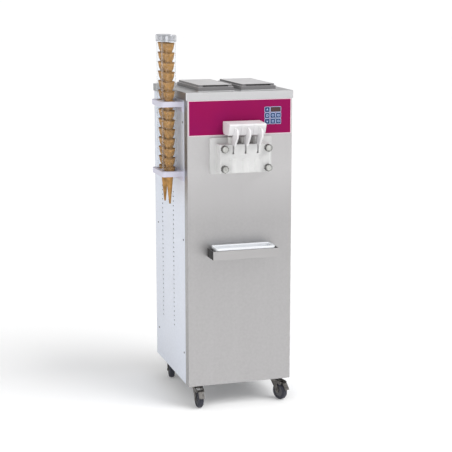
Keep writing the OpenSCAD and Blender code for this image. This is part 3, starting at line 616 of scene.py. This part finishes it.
def cone_profile(rim_r):
    """Half outline of one wafer cone, from its tip round its rim to its inside: (radius, height) in mm."""
    tip = [(0.6, 0), (3, 0.8), (4.6, 4)]
    shoulder = [(rim_r - 11, 130), (rim_r - 10, 135), (rim_r - 7.4, 139)]
    cup = [(rim_r - 5.6, 146), (rim_r - 4.0, 154), (rim_r - 2.8, 161), (rim_r - 2.2, 164.5)]
    rim = [(rim_r - 0.4, 166), (rim_r, 168.5), (rim_r - 0.3, 171), (rim_r - 1.2, 172), (rim_r - 3.0, 171)]
    cup_inside = [(rim_r - 5.2, 160), (rim_r - 7.4, 148), (rim_r - 10.0, 141), (rim_r - 13, 135)]
    bottom = [(1.4, 10), (0.6, 9)]
    return tip + shoulder + cup + rim + cup_inside + bottom


def ring_of_cone(mesh, centre, r, z, twist):
    """One ring of points round a cone's axis, with the ribs of its cup and the waffle of its stem.

    r and z are in millimetres, z from the cone's tip, and twist turns the whole cone.
    """
    ribs, waffles = 26, 16
    points = 4 * ribs
    ring = []
    for k in range(points):
        turn = 2 * math.pi * k / points
        relief = 0.0
        if 140 < z < 163:
            relief = 0.6 * math.cos(ribs * turn)
        elif 8 < z < 132:
            relief = 0.3 * math.cos(waffles * turn + z / 4)
        reach = (r + relief) * MM - CONE_CLEARANCE
        offset = Vector((reach * math.cos(turn + twist), reach * math.sin(turn + twist), z * MM))
        ring.append(mesh.verts.new(centre + offset))
    return ring


def add_skin(mesh, rings):
    """Joins rings of points, one after the other, and closes the first and the last."""
    count = len(rings[0])
    for a, b in zip(rings, rings[1:]):
        for k in range(count):
            j = (k + 1) % count
            mesh.faces.new((a[k], a[j], b[j], b[k]))
    mesh.faces.new(reversed(rings[0]))
    mesh.faces.new(rings[-1])


def wafer_cones():
    """The stacks of cones, point down, each one turned a little differently."""
    rng = random.Random(7)
    low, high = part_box("cones")
    pitch = (high.z - low.z - CONE_LENGTH) / (CONES_PER_TUBE - 1)
    radius = (high.x - low.x) / 2
    profile = cone_profile(radius / MM)
    mesh = bmesh.new()
    for y in (low.y + radius, high.y - radius):
        for i in range(CONES_PER_TUBE):
            centre = Vector((low.x + radius, y, low.z + i * pitch))
            twist = rng.uniform(0, 2 * math.pi)
            add_skin(mesh, [ring_of_cone(mesh, centre, r, z, twist) for r, z in profile])
    piece = add_piece("wafer_cones", mesh, WAFER, "cabinet", 50)
    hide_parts("cones")


film_border()
keypad_lines()
for number, kind in enumerate(("up", "frame", "ring", "frame", "down", "bars", "ring"), start=1):
    key_mark(number, kind)
wafer_cones()


# ---- Stage, light and camera ----


def make_floor():
    """A wide pale floor with a faint glow, so that it whitens away from the shadow."""
    half_side = 40
    mesh = bmesh.new()
    bmesh.ops.create_grid(mesh, x_segments=1, y_segments=1, size=half_side)
    data = bpy.data.meshes.new("floor")
    mesh.to_mesh(data)
    mesh.free()
    look = Look("floor_white", 0.8, specular=0.1)
    clouds = look.level(look.noise(0.5), 0, 1)
    look.put(Base_Color=look.blend(clouds, (0.93, 0.93, 0.935), (0.94, 0.94, 0.94)))
    look.put(Emission_Color=(1, 1, 1, 1), Emission_Strength=0.13)
    data.materials.append(look.material)
    floor = bpy.data.objects.new("floor", data)
    bpy.context.scene.collection.objects.link(floor)


def world_ramp(tree, value, from_range, to_range):
    """Maps value from from_range to to_range, both (low, high)."""
    node = tree.nodes.new("ShaderNodeMapRange")
    tree.links.new(value, node.inputs["Value"])
    node.inputs["From Min"].default_value, node.inputs["From Max"].default_value = from_range
    node.inputs["To Min"].default_value, node.inputs["To Max"].default_value = to_range
    return node.outputs[0]


def make_world():
    """White behind the object; what lights and mirrors it is brighter above, and greyer towards the back."""
    world = bpy.data.worlds.new("studio")
    bpy.context.scene.world = world
    world.use_nodes = True
    tree = world.node_tree
    tree.nodes.clear()
    way = tree.nodes.new("ShaderNodeTexCoord").outputs["Generated"]
    part = tree.nodes.new("ShaderNodeSeparateXYZ")
    tree.links.new(way, part.inputs[0])
    level = tree.nodes.new("ShaderNodeMath")
    level.operation = "MULTIPLY"
    tree.links.new(world_ramp(tree, part.outputs["Z"], (-0.1, 0.8), (0.6, 0.85)), level.inputs[0])
    tree.links.new(world_ramp(tree, part.outputs["Y"], (-0.6, 0.9), (1.0, 0.85)), level.inputs[1])
    studio = tree.nodes.new("ShaderNodeBackground")
    tree.links.new(level.outputs[0], studio.inputs["Strength"])
    white = tree.nodes.new("ShaderNodeBackground")
    white.inputs["Strength"].default_value = 1.3
    seen = tree.nodes.new("ShaderNodeLightPath").outputs["Is Camera Ray"]
    both = tree.nodes.new("ShaderNodeMixShader")
    tree.links.new(seen, both.inputs[0])
    tree.links.new(studio.outputs[0], both.inputs[1])
    tree.links.new(white.outputs[0], both.inputs[2])
    end = tree.nodes.new("ShaderNodeOutputWorld")
    tree.links.new(both.outputs[0], end.inputs["Surface"])


def place_light(data, place, target):
    """Puts a lamp at place, turned towards target."""
    light = bpy.data.objects.new(data.name, data)
    light.location = place
    light.rotation_euler = (Vector(target) - Vector(place)).to_track_quat("-Z", "Y").to_euler()
    bpy.context.scene.collection.objects.link(light)


def soft_sun(name, place, strength, spread):
    """A distant lamp that shines from place towards the origin, spread degrees wide."""
    data = bpy.data.lights.new(name, "SUN")
    data.energy = strength
    data.angle = math.radians(spread)
    place_light(data, place, (0, 0, 0))


def area_light(name, place, target, size, power):
    """A soft box at place, size (width, height), that shines towards target."""
    data = bpy.data.lights.new(name, "AREA")
    data.shape = "RECTANGLE"
    data.size, data.size_y = size
    data.energy = power
    place_light(data, place, target)


def make_camera():
    """A long lens a little above the machine, in front of it and to its left."""
    data = bpy.data.cameras.new("camera")
    data.lens = 100.38
    data.sensor_width = 36
    data.clip_end = 200
    camera = bpy.data.objects.new("camera", data)
    camera.location = (-1.7138, -5.6635, 1.9593)
    yaw, pitch, roll = math.radians(-17.30), math.radians(90 - 10.88), math.radians(-0.03)
    turn = Matrix.Rotation(yaw, 4, "Z") @ Matrix.Rotation(pitch, 4, "X") @ Matrix.Rotation(roll, 4, "Z")
    camera.rotation_euler = turn.to_euler()
    bpy.context.scene.collection.objects.link(camera)
    bpy.context.scene.camera = camera


make_floor()
make_world()
soft_sun("key", (3.0, -2.6, 4.4), 1.6, 40)
area_light("front_fill", (-2.8, -3.0, 2.0), (0, 0, 0.9), (2.4, 2.4), 30)
make_camera()
bpy.context.scene.view_settings.view_transform = "Standard"
bpy.context.scene.cycles.transparent_max_bounces = 24
